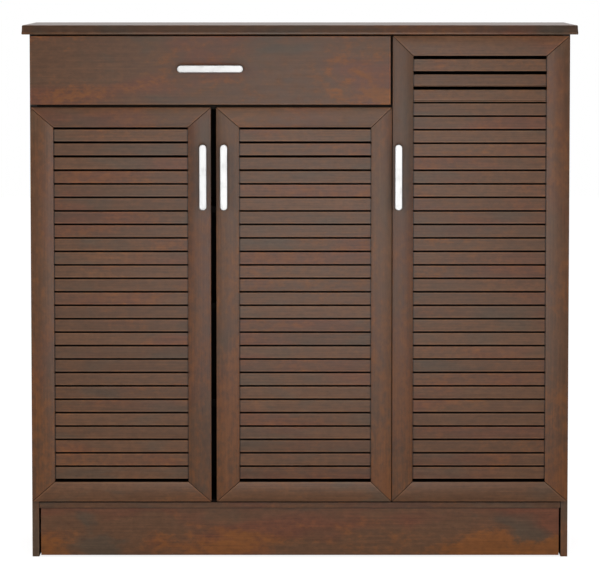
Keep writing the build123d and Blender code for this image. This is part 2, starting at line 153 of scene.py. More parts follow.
def make_walnut_figure():
    """Stained walnut: smoky, russet and amber patches under fine fibres and pores."""
    group, given, result = new_group(
        "walnut_figure",
        [("Place", "NodeSocketVector", None), ("Seed", "NodeSocketFloat", 0.0),
         ("Patches", "NodeSocketFloat", 1.0), ("Amber", "NodeSocketFloat", 1.0),
         ("Flecks", "NodeSocketFloat", 1.0), ("Warmth", "NodeSocketFloat", 0.0),
         ("Tone", "NodeSocketFloat", 1.0),
         ("Roughness", "NodeSocketFloat", lacquer_roughness)],
        [("Color", "NodeSocketColor"), ("Roughness", "NodeSocketFloat"),
         ("Height", "NodeSocketFloat")])
    board = put(group, "ShaderNodeTexWhiteNoise", {"W": given["Seed"]}, noise_dimensions="1D")
    offset = stretched(group, board.outputs["Color"], board_offsets)
    moved = put(group, "ShaderNodeVectorMath", {0: given["Place"], 1: offset}, operation="ADD")
    place = moved.outputs[0]
    patch = noise(group, place, patch_stretch, detail=4.0, distortion=0.5)
    drift = noise(group, place, drift_stretch, roughness=0.5, distortion=0.3)
    mottle = noise(group, place, mottle_stretch, detail=5.0, roughness=0.65)
    streak = noise(group, place, streak_stretch, roughness=0.6)
    fibre = noise(group, place, fibre_stretch, detail=2.0)
    pore = noise(group, place, pore_stretch, detail=1.0)

    smoky = calculate(group, "MULTIPLY", between(group, patch, *smoky_levels), given["Patches"])
    colour = mixed(group, smoky, ground_brown, smoky_brown)
    red = calculate(group, "MULTIPLY", between(group, drift, *russet_levels), given["Patches"])
    colour = mixed(group, red, colour, russet)
    flecks = put(group, "ShaderNodeMix", {0: given["Flecks"], 2: 0.5, 3: mottle}).outputs[0]
    both = calculate(group, "ADD", drift, calculate(group, "SUBTRACT", flecks, patch))
    both = calculate(group, "ADD", both, given["Warmth"])
    glow = calculate(group, "MULTIPLY", between(group, both, *amber_levels), given["Amber"])
    colour = mixed(group, glow, colour, amber)

    tone = between(group, board.outputs["Value"], 0.0, 1.0, *board_tones)
    tone = calculate(group, "MULTIPLY", tone, given["Tone"])
    pores = between(group, pore, *pore_levels)
    for detail_tone in (between(group, mottle, *usual_levels, *mottle_tones),
                        between(group, streak, *usual_levels, *streak_tones),
                        between(group, fibre, *fibre_levels, *fibre_tones),
                        between(group, pores, 0.0, 1.0, 1.0, pore_tone)):
        tone = calculate(group, "MULTIPLY", tone, detail_tone)
    shade = put(group, "ShaderNodeVectorMath", {0: colour, "Scale": tone}, operation="SCALE")
    give(group, shade.outputs[0], result["Color"])

    uneven = between(group, mottle, *usual_levels, *lacquer_unevenness)
    give(group, calculate(group, "ADD", given["Roughness"], uneven), result["Roughness"])
    dips = calculate(group, "MULTIPLY", pores, pore_depth)
    give(group, calculate(group, "SUBTRACT", fibre, dips), result["Height"])
    return group


walnut_figure = make_walnut_figure()
grain_turns = {"x": (0, 0, 0), "y": (0, 0, pi / 2), "z": (0, pi / 2, 0)}


def new_material(name):
    """An empty material and its node tree."""
    material = bpy.data.materials.new(name)
    material.use_nodes = True
    material.node_tree.nodes.clear()
    return material, material.node_tree


def surface(tree, inputs):
    """A Principled surface on the material's output."""
    shader = put(tree, "ShaderNodeBsdfPrincipled", inputs)
    put(tree, "ShaderNodeOutputMaterial", {"Surface": shader.outputs[0]})


def own_place(tree, turn=(0, 0, 0)):
    """A piece's own coordinates, turned so that the grain runs along X."""
    place = put(tree, "ShaderNodeTexCoord").outputs["Object"]
    return put(tree, "ShaderNodeMapping", {"Vector": place, "Rotation": turn}).outputs[0]


def walnut(name, along, **features):
    """A walnut finish with its grain along one axis.

    Each feature of the figure is a number, or a function that adds nodes for it.
    """
    material, tree = new_material(name)
    inputs = {"Place": own_place(tree, grain_turns[along])}
    for feature, value in features.items():
        inputs[feature.capitalize()] = value(tree) if callable(value) else value
    figure = put(tree, "ShaderNodeGroup", inputs, node_tree=walnut_figure)
    bump = put(tree, "ShaderNodeBump", {"Strength": 0.6, "Distance": fibre_relief,
                                        "Height": figure.outputs["Height"]})
    surface(tree, {"Base Color": figure.outputs["Color"],
                   "Roughness": figure.outputs["Roughness"], "Normal": bump.outputs[0]})
    return material


def coordinate(tree, axis):
    """One of a piece's own coordinates."""
    place = put(tree, "ShaderNodeTexCoord").outputs["Object"]
    return put(tree, "ShaderNodeSeparateXYZ", {0: place}).outputs[axis]


def make_smooth_faces():
    """Geometry nodes that join a mesh's split corners and shade it smooth."""
    tree = bpy.data.node_groups.new("joined_and_smooth", "GeometryNodeTree")
    tree.interface.new_socket(name="Mesh", in_out="INPUT", socket_type="NodeSocketGeometry")
    tree.interface.new_socket(name="Mesh", in_out="OUTPUT", socket_type="NodeSocketGeometry")
    start = put(tree, "NodeGroupInput")
    joined = put(tree, "GeometryNodeMergeByDistance", {"Geometry": start.outputs[0],
                                                       "Distance": joining_distance})
    smooth = put(tree, "GeometryNodeSetShadeSmooth", {"Geometry": joined.outputs[0]})
    put(tree, "NodeGroupOutput", {0: smooth.outputs[0]})
    return tree


joined_and_smooth = make_smooth_faces()


def ease(piece, width):
    """Soften a piece's sharp edges."""
    joined = piece.modifiers.new("joined", "NODES")
    joined.node_group = joined_and_smooth
    bevel = piece.modifiers.new("eased_edges", "BEVEL")
    bevel.width = width
    bevel.segments = softening_steps
    bevel.limit_method = "ANGLE"
    bevel.angle_limit = sharp_angle
    normals = piece.modifiers.new("even_normals", "WEIGHTED_NORMAL")
    normals.weight = flat_face_weight
    normals.keep_sharp = False


def finish_nodes(names, material, width=edge_softening):
    """Give CAD pieces their finish and eased edges."""
    for name in names:
        piece = nodes[name]
        for slot in piece.material_slots:
            slot.material = material
        ease(piece, width)


# Tone of the painted shade inside the cabinet: the sides' inner faces, the bottom board's ends and
# the slats' edges.
inside_shade_tone = 0.12
face_skin = 0.1 * MM
inner_face_fade = 0.4 * MM
front_edge_fade = 0.5 * MM
side_foot_fade = 1 * MM


def painted_inner_shade(tree):
    """Tone of the sides: painted shade on the inner faces and on the front edges behind the doors.
    """
    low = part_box("right_side_panel")[0]
    doors_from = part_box("bottom_panel")[1].z
    across = calculate(tree, "ABSOLUTE", coordinate(tree, "X"))
    outer = between(tree, across, low.x + face_skin, low.x + inner_face_fade)
    behind_edge = between(tree, coordinate(tree, "Y"), low.y + face_skin,
                          low.y + front_edge_fade)
    below_doors = between(tree, coordinate(tree, "Z"), doors_from - side_foot_fade, doors_from,
                          1.0, 0.0)
    shown = calculate(tree, "MULTIPLY", outer,
                      calculate(tree, "MAXIMUM", behind_edge, below_doors))
    return between(tree, shown, 0.0, 1.0, inside_shade_tone, 1.0)


# Painted shade on the bottom board: behind the doors' lower edges, along its lower edge and at its
# ends beside the sides.
doors_shade = 5.6 * MM
shade_softness = 0.3 * MM
shaded_tone = 0.05
lower_shade_reach = (0.3 * MM, 1.0 * MM)
lower_shade_tone = 0.3
bottom_end_shade_reach = (1.6 * MM, 0.9 * MM)


def bottom_tone(tree):
    """Tone of the bottom board: painted shade behind the doors' lower edges, along its lower edge
    above the plinth and at its ends.
    """
    low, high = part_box("bottom_panel")
    height = coordinate(tree, "Z")
    behind = between(tree, height, high.z - doors_shade - shade_softness, high.z - doors_shade,
                     1.0, shaded_tone)
    lower_shade = between(tree, height, *(low.z + reach for reach in lower_shade_reach),
                         lower_shade_tone, 1.0)
    from_middle = calculate(tree, "ABSOLUTE", coordinate(tree, "X"))
    end_shades = between(tree, from_middle, *(high.x - reach for reach in bottom_end_shade_reach),
                        1.0, inside_shade_tone)
    tone = calculate(tree, "MULTIPLY", behind, lower_shade)
    return calculate(tree, "MULTIPLY", tone, end_shades)


def bottom_lacquer(tree):
    """Roughness of the bottom board, matt behind the doors' lower edges."""
    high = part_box("bottom_panel")[1]
    return between(tree, coordinate(tree, "Z"), high.z - doors_shade - shade_softness,
                   high.z - doors_shade, lacquer_roughness, 1.0)


# Painted shade along the plinth's top, under the bottom board.
plinth_shade_reach = (1.7 * MM, 0.9 * MM)
plinth_shade_tone = 0.4
plinth_heights = (0.10, 0.01)
plinth_warmth = (-0.12, 0.06)
corner_heights = (0.09, 0.01)
left_corner = (-0.36, -0.56)
left_corner_warmth = 0.16
right_corner = (0.08, 0.50)
right_corner_warmth = 0.34


def plinth_tone(tree):
    """Tone of the plinth: painted shade along its top, under the bottom board."""
    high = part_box("plinth_board")[1]
    return between(tree, coordinate(tree, "Z"), *(high.z - reach for reach in plinth_shade_reach),
                   1.0, plinth_shade_tone)


def warm_corners(tree):
    """Warmth of the plinth, growing downwards and strongest at its lower corners."""
    across = coordinate(tree, "X")
    height = coordinate(tree, "Z")
    right = between(tree, across, *right_corner, 0.0, right_corner_warmth)
    left = between(tree, across, *left_corner, 0.0, left_corner_warmth)
    low = between(tree, height, *corner_heights)
    corners = calculate(tree, "MULTIPLY", low, calculate(tree, "ADD", left, right))
    return calculate(tree, "ADD", corners,
                     between(tree, height, *plinth_heights, *plinth_warmth))


finish_nodes(("left_side_panel", "right_side_panel"),
             walnut("walnut_sides", "z", seed=3.0, tone=painted_inner_shade))
finish_nodes(("bottom_panel",),
             walnut("walnut_bottom", "x", seed=35.0, tone=bottom_tone,
                    roughness=bottom_lacquer))
finish_nodes(("plinth_board", "plinth_rear_board"),
             walnut("walnut_plinth", "x", seed=8.0, patches=1.4, amber=1.7, flecks=0.45,
                    warmth=warm_corners, tone=plinth_tone))
finish_nodes(("plinth_brace",), walnut("walnut_brace", "y", seed=9.0))


# ------------------------------------------------------------------- inner boards
# The partition, divider, rails and shelves are boards faced with dark wenge laminate,
# coloured near black as painted shade, so that the inside reads as shade through the
# louvres. The shelves lie loose on their pins; the others are dowelled in.

# Near-black colours, which stand in for the shade inside the cabinet.
shade_wenge_dark = (0.009, 0.006, 0.005, 1)
shade_wenge_light = (0.020, 0.014, 0.010, 1)
wenge_line_stretch = (4.0, 120.0, 120.0)
wenge_cloud_stretch = (3.0, 10.0, 10.0)
wenge_line_share = 0.7
wenge_cloud_share = 0.3
wenge_levels = (0.36, 0.64)
wenge_roughness = (0.48, 0.60)
wenge_relief = 0.04 * MM


def make_wenge(name, along):
    """Dark laminate with straight pale lines in its grain, near black as painted shade."""
    material, tree = new_material(name)
    place = own_place(tree, grain_turns[along])
    line = noise(tree, place, wenge_line_stretch, roughness=0.6)
    cloud = noise(tree, place, wenge_cloud_stretch)
    share = calculate(tree, "ADD", calculate(tree, "MULTIPLY", line, wenge_line_share),
                      calculate(tree, "MULTIPLY", cloud, wenge_cloud_share))
    colour = mixed(tree, between(tree, share, *wenge_levels), shade_wenge_dark, shade_wenge_light)
    bump = put(tree, "ShaderNodeBump", {"Strength": 0.4, "Distance": wenge_relief,
                                        "Height": line})
    rough = between(tree, line, *usual_levels, *wenge_roughness)
    surface(tree, {"Base Color": colour, "Roughness": rough, "Normal": bump.outputs[0],
                   "Specular IOR Level": 0.15})
    return material


finish_nodes(("partition_panel",), make_wenge("shade_wenge_partition", "z"))
finish_nodes(("drawer_divider", "front_top_rails", "rear_top_rails", "wide_bay_shelves",
              "tall_bay_shelves"), make_wenge("shade_wenge_level_boards", "x"))


# ------------------------------------------------------------------------ top board
# The top is one 20 mm walnut-faced board with a small lip round its lower edge and
# a slightly sloped front. It is screwed up from the rails, so nothing shows on it.

top_softening = 0.3 * MM
lip_rise = 5 * MM
lip_blend = 0.8 * MM
lip_tone = 0.95
# The sloped front edge is darkened as painted shade; the lip stays near its plain tone.
slope_shade_tone = 0.63
arris_fade = (2 * MM, 0.4 * MM)
lip_roughness = 0.21
top_roughness = 0.37


def edge_tones(tree):
    """Tone of the top: painted shade on the sloped edge, for the darker reflection it shows; the
    lip keeps nearly its plain tone.
    """
    low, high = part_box("top_panel")
    height = coordinate(tree, "Z")
    edge = between(tree, height, low.z + lip_rise - lip_blend, low.z + lip_rise + lip_blend,
                   lip_tone, slope_shade_tone)
    return between(tree, height, *(high.z - reach for reach in arris_fade), edge, 1.0)


def top_lacquer(tree):
    """Roughness of the top: rubbed glossier along the lip."""
    lip_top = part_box("top_panel")[0].z + lip_rise
    return between(tree, coordinate(tree, "Z"), lip_top - lip_blend, lip_top + lip_blend,
                   lip_roughness, top_roughness)


finish_nodes(("top_panel",),
             walnut("walnut_top", "x", seed=14.0, amber=0.5, tone=edge_tones,
                    roughness=top_lacquer),
             top_softening)


# --------------------------------------------------------------------- drawer front
# The drawer front is one flat walnut-faced board with level grain. Shade is painted
# along its arrises, with a painted highlight beside it.
# It laps over the drawer box and is screwed to it from inside.

front_softening = 0.3 * MM
# Beside an arris: a narrow band of painted shade where the edge rolls over, then a wider band of
# painted highlight.
arris_reach = 4.0 * MM
arris_highlight_gain = 1.32
rolled_width = 0.7 * MM
rolled_shade_tone = 0.12
rolled_roughness = 0.8


def from_nearest(tree, value, levels):
    """How far a value is from the nearest of some levels."""
    gaps = [calculate(tree, "ABSOLUTE", calculate(tree, "SUBTRACT", value, level))
            for level in levels]
    nearest = gaps[0]
    for gap in gaps[1:]:
        nearest = calculate(tree, "MINIMUM", nearest, gap)
    return nearest


def rolled_share(tree, apart):
    """1 where an edge rolls over beside its arris, and 0 past it."""
    return between(tree, apart, rolled_width / 2, rolled_width, 1.0, 0.0)


def arris_tone(tree, apart):
    """Tone beside an arris: painted shade where the edge rolls over, then a painted highlight."""
    arris_highlight = between(tree, apart, arris_reach / 2, arris_reach, arris_highlight_gain, 1.0)
    rolled = between(tree, rolled_share(tree, apart), 0.0, 1.0, 1.0, rolled_shade_tone)
    return calculate(tree, "MULTIPLY", arris_highlight, rolled)


def front_tone(tree):
    """Tone of the drawer front: painted shade and a painted highlight beside its four arrises."""
    low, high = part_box("drawer_front")
    from_ends = from_nearest(tree, coordinate(tree, "X"), (low.x, high.x))
    from_levels = from_nearest(tree, coordinate(tree, "Z"), (low.z, high.z))
    return arris_tone(tree, calculate(tree, "MINIMUM", from_ends, from_levels))


finish_nodes(("drawer_front",),
             walnut("walnut_drawer_front", "x", seed=111.0, patches=1.2, amber=1.3,
                    tone=front_tone),
             front_softening)


# ----------------------------------------------------------------------- door frames
# Each louvred door has four domed members mitred at the corners. The stiles run the
# full height with upright grain, and the rails between them have level grain.

doors = ("left", "middle", "right")
stile_seeds = {"left": (223.0, 234.0), "middle": (145.0, 34.0), "right": (47.0, 198.0)}
stile_stains = {"left": (1.0, 0.91), "middle": (1.0, 1.0), "right": (0.86, 1.0)}
rail_seeds = {"left": (41.0, 582.0), "middle": (673.0, 594.0), "right": (43.0, 706.0)}
# Painted light on the rails: darker low on each rail's face and lighter high up.
rail_painted_light = {"top": (0.83, 1.13), "bottom": (0.98, 1.15)}
warm_heights = (0.60, 0.16)
stile_warmth = (0.03, 0.18)
# A stile's painted shade grows towards the floor, between these heights, to this tone.
floor_shade_heights = (0.20, 0.75)
foot_shade_tone = 0.90


def warm_feet(tree):
    """Warmth of the stiles, growing towards the floor."""
    return between(tree, coordinate(tree, "Z"), *warm_heights, *stile_warmth)


def from_mitres(tree, door):
    """How far a spot on a door's frame is from the nearest mitre joint."""
    left_low, left_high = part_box(f"{door}_door_left_stile")
    right_low, right_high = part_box(f"{door}_door_right_stile")
    rail_low, rail_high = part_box(f"{door}_door_top_rail")
    door_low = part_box(f"{door}_door_bottom_rail")[0]
    left_width = left_high.x - left_low.x
    rail_height = rail_high.z - rail_low.z

    def share(axis, edge, inner_edge):
        inwards = calculate(tree, "SUBTRACT", coordinate(tree, axis), edge)
        return calculate(tree, "DIVIDE", inwards, inner_edge - edge)

    across = calculate(tree, "MINIMUM", share("X", left_low.x, left_high.x),
                       share("X", right_high.x, right_low.x))
    along = calculate(tree, "MINIMUM", share("Z", rail_high.z, rail_low.z),
                      share("Z", door_low.z, door_low.z + rail_height))
    apart = calculate(tree, "ABSOLUTE", calculate(tree, "SUBTRACT", across, along))
    slant = left_width * rail_height / hypot(left_width, rail_height)
    return calculate(tree, "MULTIPLY", apart, slant)


def stile_tone(door, stain):
    """A function whose nodes paint shade on a stile, deeper towards the floor, and at the mitres.
    """
    def add_nodes(tree):
        rolled = rolled_share(tree, from_mitres(tree, door))
        joint = between(tree, rolled, 0.0, 1.0, 1.0, rolled_shade_tone)
        shade_and_stain = between(tree, coordinate(tree, "Z"), *floor_shade_heights, foot_shade_tone * stain, stain)
        return calculate(tree, "MULTIPLY", joint, shade_and_stain)

    return add_nodes


def frame_lacquer(door):
    """A function whose nodes leave the lacquer matt along a door's mitres."""
    def add_nodes(tree):
        rolled = rolled_share(tree, from_mitres(tree, door))
        return between(tree, rolled, 0.0, 1.0, lacquer_roughness, rolled_roughness)

    return add_nodes


def rail_tone(door, end):
    """A function whose nodes paint light on a rail: shade low on its face and light high up, and
    painted shade and highlight beside the slats and mitres.
    """
    low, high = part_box(f"{door}_door_{end}_rail")
    inner_edge = low.z if end == "top" else high.z

    def add_nodes(tree):
        height = coordinate(tree, "Z")
        from_slats = from_nearest(tree, height, (inner_edge,))
        beside = arris_tone(tree, calculate(tree, "MINIMUM", from_slats, from_mitres(tree, door)))
        return calculate(tree, "MULTIPLY", beside,
                         between(tree, height, low.z, high.z, *rail_painted_light[end]))

    return add_nodes


for door in doors:
    for hand, seed, stain in zip(("left", "right"), stile_seeds[door], stile_stains[door]):
        finish_nodes((f"{door}_door_{hand}_stile",),
                     walnut(f"walnut_{door}_{hand}_stile", "z", seed=seed, patches=0.55,
                            amber=0.7, warmth=warm_feet, tone=stile_tone(door, stain),
                            roughness=frame_lacquer(door)))
    for end, seed in zip(("top", "bottom"), rail_seeds[door]):
        finish_nodes((f"{door}_door_{end}_rail",),
                     walnut(f"walnut_{door}_{end}_rail", "x", seed=seed, patches=0.8,
                            amber=0.5, tone=rail_tone(door, end),
                            roughness=frame_lacquer(door)))


# ----------------------------------------------------------------------------- slats
# The louvres are separate flat slats with bevelled edges, housed in the stiles. Each
# was cut from its own length of timber, so its tone and figure differ from its
# neighbour's.

slat_face = 26.1 * MM
slat_gap = 3.1 * MM
slat_pitch = slat_face + slat_gap
slat_counts = {"left": 26, "middle": 26, "right": 31}
slat_seeds = {"left": 17200.0, "middle": 400.0, "right": 10600.0}
slat_fall = 1.2 * MM
wide_gaps = 3
first_wide_number = 100.0
# Painted shade at the slats' housed ends and on their edge faces in the gaps between them.
slat_end_shade_reach = 2.6 * MM
slat_end_shade_tone = 0.32
slat_edge_fade = 0.6 * MM


def slat_layout(tree, door):
    """A slat's number from the bottom, and how far a spot is above its lower edge."""
    low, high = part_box(f"{door}_door_slats")
    count = slat_counts[door]
    first = low.z + slat_fall
    last = high.z - slat_face
    base = first - slat_gap / 2
    widened = (last - first - (count - 1) * slat_pitch) / wide_gaps
    upper = first + (count - wide_gaps) * slat_pitch - slat_gap / 2
    drop = calculate(tree, "SUBTRACT", coordinate(tree, "Y"), low.y)
    drop = calculate(tree, "MULTIPLY", drop, slat_fall / (high.y - low.y))
    height = calculate(tree, "ADD", coordinate(tree, "Z"), drop)

    def counted(start, pitch, lead, first_number):
        above = calculate(tree, "DIVIDE", calculate(tree, "SUBTRACT", height, start), pitch)
        number = calculate(tree, "FLOOR", above)
        rise = calculate(tree, "MULTIPLY", calculate(tree, "SUBTRACT", above, number), pitch)
        return (calculate(tree, "ADD", number, first_number),
                calculate(tree, "SUBTRACT", rise, lead))

    regular = counted(base, slat_pitch, slat_gap / 2, 0.0)
    wide = counted(upper, slat_pitch + widened, slat_gap / 2 + widened,
                   first_wide_number)
    is_wide = calculate(tree, "GREATER_THAN", height, upper)
    return [put(tree, "ShaderNodeMix", {0: is_wide, 2: lower, 3: higher}).outputs[0]
            for lower, higher in zip(regular, wide)]


def slat_seed(door, first_seed):
    """A function whose nodes give each slat its own seed."""
    def add_nodes(tree):
        return calculate(tree, "ADD", slat_layout(tree, door)[0], first_seed)

    return add_nodes


def slat_tone(door):
    """A function whose nodes paint a highlight beside a slat's arrises, and shade on them, at its
    housed ends and on its edges in the gaps.
    """
    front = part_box(f"{door}_door_slats")[0].y
    ends = (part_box(f"{door}_door_left_stile")[1].x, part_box(f"{door}_door_right_stile")[0].x)

    def add_nodes(tree):
        rise = slat_layout(tree, door)[1]
        tone = arris_tone(tree, from_nearest(tree, rise, (0.0, slat_face)))
        from_ends = from_nearest(tree, coordinate(tree, "X"), ends)
        housed = between(tree, from_ends, slat_end_shade_reach / 2, slat_end_shade_reach, slat_end_shade_tone, 1.0)
        tone = calculate(tree, "MULTIPLY", tone, housed)
        depth = calculate(tree, "SUBTRACT", coordinate(tree, "Y"), front)
        inside = between(tree, depth, face_skin, slat_edge_fade, 1.0, inside_shade_tone)
        return calculate(tree, "MULTIPLY", tone, inside)

    return add_nodes


def slat_lacquer(door):
    """A function whose nodes leave the lacquer matt where a slat's edges roll over."""
    def add_nodes(tree):
        rise = slat_layout(tree, door)[1]
        rolled = rolled_share(tree, from_nearest(tree, rise, (0.0, slat_face)))
        return between(tree, rolled, 0.0, 1.0, lacquer_roughness, rolled_roughness)

    return add_nodes


for door in doors:
    finish_nodes((f"{door}_door_slats",),
                 walnut(f"walnut_{door}_slats", "x", seed=slat_seed(door, slat_seeds[door]),
                        patches=0.75, amber=0.6, tone=slat_tone(door),
                        roughness=slat_lacquer(door)))


# ------------------------------------------------------------------------ back board
# A 4 mm hardboard sheet, brown and matt outside, and printed near black inside, which
# stands in for the shade inside the cabinet. It slides into the sides' grooves and is held
# by pan-head screws to the bottom board, the rear rails and the partition.

thin_softening = 0.2 * MM
back_brown = (0.150, 0.092, 0.060, 1)
back_flecks = (0.105, 0.062, 0.040, 1)
back_cloud_stretch = (5.0, 5.0, 5.0)
back_fleck_stretch = (260.0, 260.0, 260.0)
back_fleck_levels = (0.42, 0.68)
back_tones = (0.90, 1.08)
back_roughness = (0.62, 0.78)
back_relief = 0.1 * MM


def make_hardboard(middle):
    """Pressed fibres: fine flecks over a cloudy ground, with a near-black face inside as painted
    shade.
    """
    material, tree = new_material("back_hardboard")
    place = own_place(tree)
    cloud = noise(tree, place, back_cloud_stretch, detail=4.0)
    fleck = noise(tree, place, back_fleck_stretch, roughness=0.7)
    colour = mixed(tree, between(tree, fleck, *back_fleck_levels), back_brown, back_flecks)
    depth = put(tree, "ShaderNodeSeparateXYZ", {0: place}).outputs["Y"]
    outside = calculate(tree, "GREATER_THAN", depth, middle)
    colour = mixed(tree, outside, shade_wenge_dark, colour)
    tone = between(tree, cloud, *usual_levels, *back_tones)
    shade = put(tree, "ShaderNodeVectorMath", {0: colour, "Scale": tone}, operation="SCALE")
    bump = put(tree, "ShaderNodeBump", {"Strength": 0.5, "Distance": back_relief,
                                        "Height": fleck})
    rough = between(tree, fleck, *usual_levels, *back_roughness)
    surface(tree, {"Base Color": shade.outputs[0], "Roughness": rough,
                   "Normal": bump.outputs[0]})
    return material


back_low, back_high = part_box("back_panel")
finish_nodes(("back_panel",), make_hardboard((back_low.y + back_high.y) / 2), thin_softening)

screw_sides = 20
screw_turn = radians(37)
welding_distance = 1e-4
recess_arm = (1.05, 0.20, 1.3)
recess_middle = 1.1


def middle_of(name):
    """The middle of a CAD piece."""
    low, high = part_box(name)
    return (low + high) / 2


def spread(first, last, count):
    """Evenly spaced values from first to last."""
    return [first + (last - first) * i / (count - 1) for i in range(count)]


def make_screw_head():
    """A pan head with a cross recess, one unit in radius and one unit high."""
    outline = [(0, 1), (0.30, 0.99), (0.58, 0.90), (0.82, 0.68), (0.96, 0.36), (1, 0), (0, 0)]
    head = bmesh.new()
    ring = [head.verts.new((r, 0, z)) for r, z in outline]
    edges = [head.edges.new(pair) for pair in zip(ring, ring[1:])]
    bmesh.ops.spin(head, geom=ring + edges, cent=(0, 0, 0), axis=(0, 0, 1), steps=screw_sides,
                   angle=2 * pi)
    bmesh.ops.remove_doubles(head, verts=head.verts, dist=welding_distance)
    bmesh.ops.recalc_face_normals(head, faces=head.faces)
    mesh = bpy.data.meshes.new("screw_head")
    head.to_mesh(mesh)
    head.free()

    cross = bmesh.new()
    for turn in (0, pi / 2):
        arm = bmesh.ops.create_cube(cross, size=1.0)["verts"]
        bmesh.ops.scale(cross, vec=recess_arm, verts=arm)
        bmesh.ops.translate(cross, vec=(0, 0, recess_middle), verts=arm)
        bmesh.ops.rotate(cross, cent=(0, 0, 0), matrix=Matrix.Rotation(turn, 3, "Z"), verts=arm)
    cross_mesh = bpy.data.meshes.new("screw_recess")
    cross.to_mesh(cross_mesh)
    cross.free()

    solid = bpy.data.objects.new("screw_head", mesh)
    cutter = bpy.data.objects.new("screw_recess", cross_mesh)
    for made in (solid, cutter):
        bpy.context.scene.collection.objects.link(made)
    cut = solid.modifiers.new("recess", "BOOLEAN")
    cut.operation = "DIFFERENCE"
    cut.object = cutter
    cut.use_self = True
    bpy.context.view_layer.update()
    evaluated = solid.evaluated_get(bpy.context.evaluated_depsgraph_get())
    finished = bpy.data.meshes.new_from_object(evaluated)
    bpy.data.objects.remove(solid)
    bpy.data.objects.remove(cutter)
    return finished


screw_head = make_screw_head()


def screws(name, body, places, outward, material, radius, height):
    """Screw heads seated on a face, one for each place, each left at its own turn."""
    facing = Vector(outward).to_track_quat("Z", "Y").to_matrix().to_4x4()
    size = Matrix.Diagonal((radius, radius, height, 1))
    joined = bmesh.new()
    for i, place in enumerate(places):
        turned = Matrix.Rotation(screw_turn * i, 4, "Z")
        head = screw_head.copy()
        head.transform(Matrix.Translation(place) @ facing @ turned @ size)
        joined.from_mesh(head)
        bpy.data.meshes.remove(head)
    for face in joined.faces:
        face.smooth = True
    mesh = bpy.data.meshes.new(name)
    joined.to_mesh(mesh)
    joined.free()
    mesh.materials.append(material)
    made = bpy.data.objects.new(name, mesh)
    bpy.context.scene.collection.objects.link(made)
    sharp = made.modifiers.new("crisp_recess", "EDGE_SPLIT")
    sharp.split_angle = sharp_angle
    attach(made, body)


zinc = (0.560, 0.565, 0.570, 1)
zinc_dull = (0.420, 0.425, 0.435, 1)
polish_stretch = (900.0, 900.0, 900.0)
smudge_stretch = (70.0, 70.0, 70.0)
smudge_levels = (0.48, 0.70)


def make_metal_marks():
    """Fine polishing lines and faint smudges on metal."""
    group, given, result = new_group(
        "metal_marks",
        [("Place", "NodeSocketVector", None), ("Clean", "NodeSocketColor", (0.8, 0.8, 0.8, 1)),
         ("Dull", "NodeSocketColor", (0.6, 0.6, 0.6, 1)), ("Gloss", "NodeSocketFloat", 0.2),
         ("Smudged", "NodeSocketFloat", 0.3)],
        [("Color", "NodeSocketColor"), ("Roughness", "NodeSocketFloat"),
         ("Height", "NodeSocketFloat")])
    lines = noise(group, given["Place"], polish_stretch, detail=2.0)
    smudge = noise(group, given["Place"], smudge_stretch, detail=4.0, roughness=0.6)
    share = between(group, smudge, *smudge_levels)
    give(group, mixed(group, share, given["Clean"], given["Dull"]), result["Color"])
    rough = put(group, "ShaderNodeMix", {0: share, 2: given["Gloss"], 3: given["Smudged"]})
    give(group, rough.outputs[0], result["Roughness"])
    give(group, lines, result["Height"])
    return group


metal_marks = make_metal_marks()


def metal(name, clean, dull, gloss, smudged, relief):
    """A metal finish with marks: its two colours, the roughness of each, and their relief."""
    material, tree = new_material(name)
    marks = put(tree, "ShaderNodeGroup", {
        "Place": own_place(tree), "Clean": clean, "Dull": dull, "Gloss": gloss,
        "Smudged": smudged}, node_tree=metal_marks)
    bump = put(tree, "ShaderNodeBump", {"Strength": 0.3, "Distance": relief,
                                        "Height": marks.outputs["Height"]})
    surface(tree, {"Base Color": marks.outputs["Color"], "Metallic": 1.0,
                   "Roughness": marks.outputs["Roughness"], "Normal": bump.outputs[0]})
    return material


zinc_finish = metal("zinc_plate", zinc, zinc_dull, gloss=0.34, smudged=0.48, relief=0.01 * MM)
back_screw = {"radius": 3.6 * MM, "height": 1.6 * MM}
back_screw_inset = 60 * MM
back_screws_across = 5
back_screws_up = 5
back_outside = back_high.y
screw_columns = spread(back_low.x + back_screw_inset, back_high.x - back_screw_inset,
                       back_screws_across)
screw_rows = spread(middle_of("bottom_panel").z, middle_of("rear_top_rails").z,
                    back_screws_up)
back_places = [(x, back_outside, z) for x in screw_columns
               for z in (screw_rows[0], screw_rows[-1])]
back_places += [(middle_of("partition_panel").x, back_outside, z) for z in screw_rows[1:-1]]
screws("back_board_screws", "carcass", back_places, (0, 1, 0), zinc_finish, **back_screw)


# ------------------------------------------------------------------------ drawer box
# The box is four 12 mm boards wrapped in wood-print foil, butted and screwed at the
# corners. Its 4 mm bottom slides into grooves near their lower edges.

foil_softening = 0.3 * MM
foil_dark = (0.125, 0.078, 0.054, 1)
foil_light = (0.190, 0.125, 0.088, 1)
foil_line_stretch = (3.0, 3.0, 240.0)
foil_streak_stretch = (1.5, 1.5, 45.0)
foil_line_share = 0.6
foil_streak_share = 0.4
foil_levels = (0.35, 0.65)
foil_roughness = (0.46, 0.56)
foil_relief = 0.03 * MM


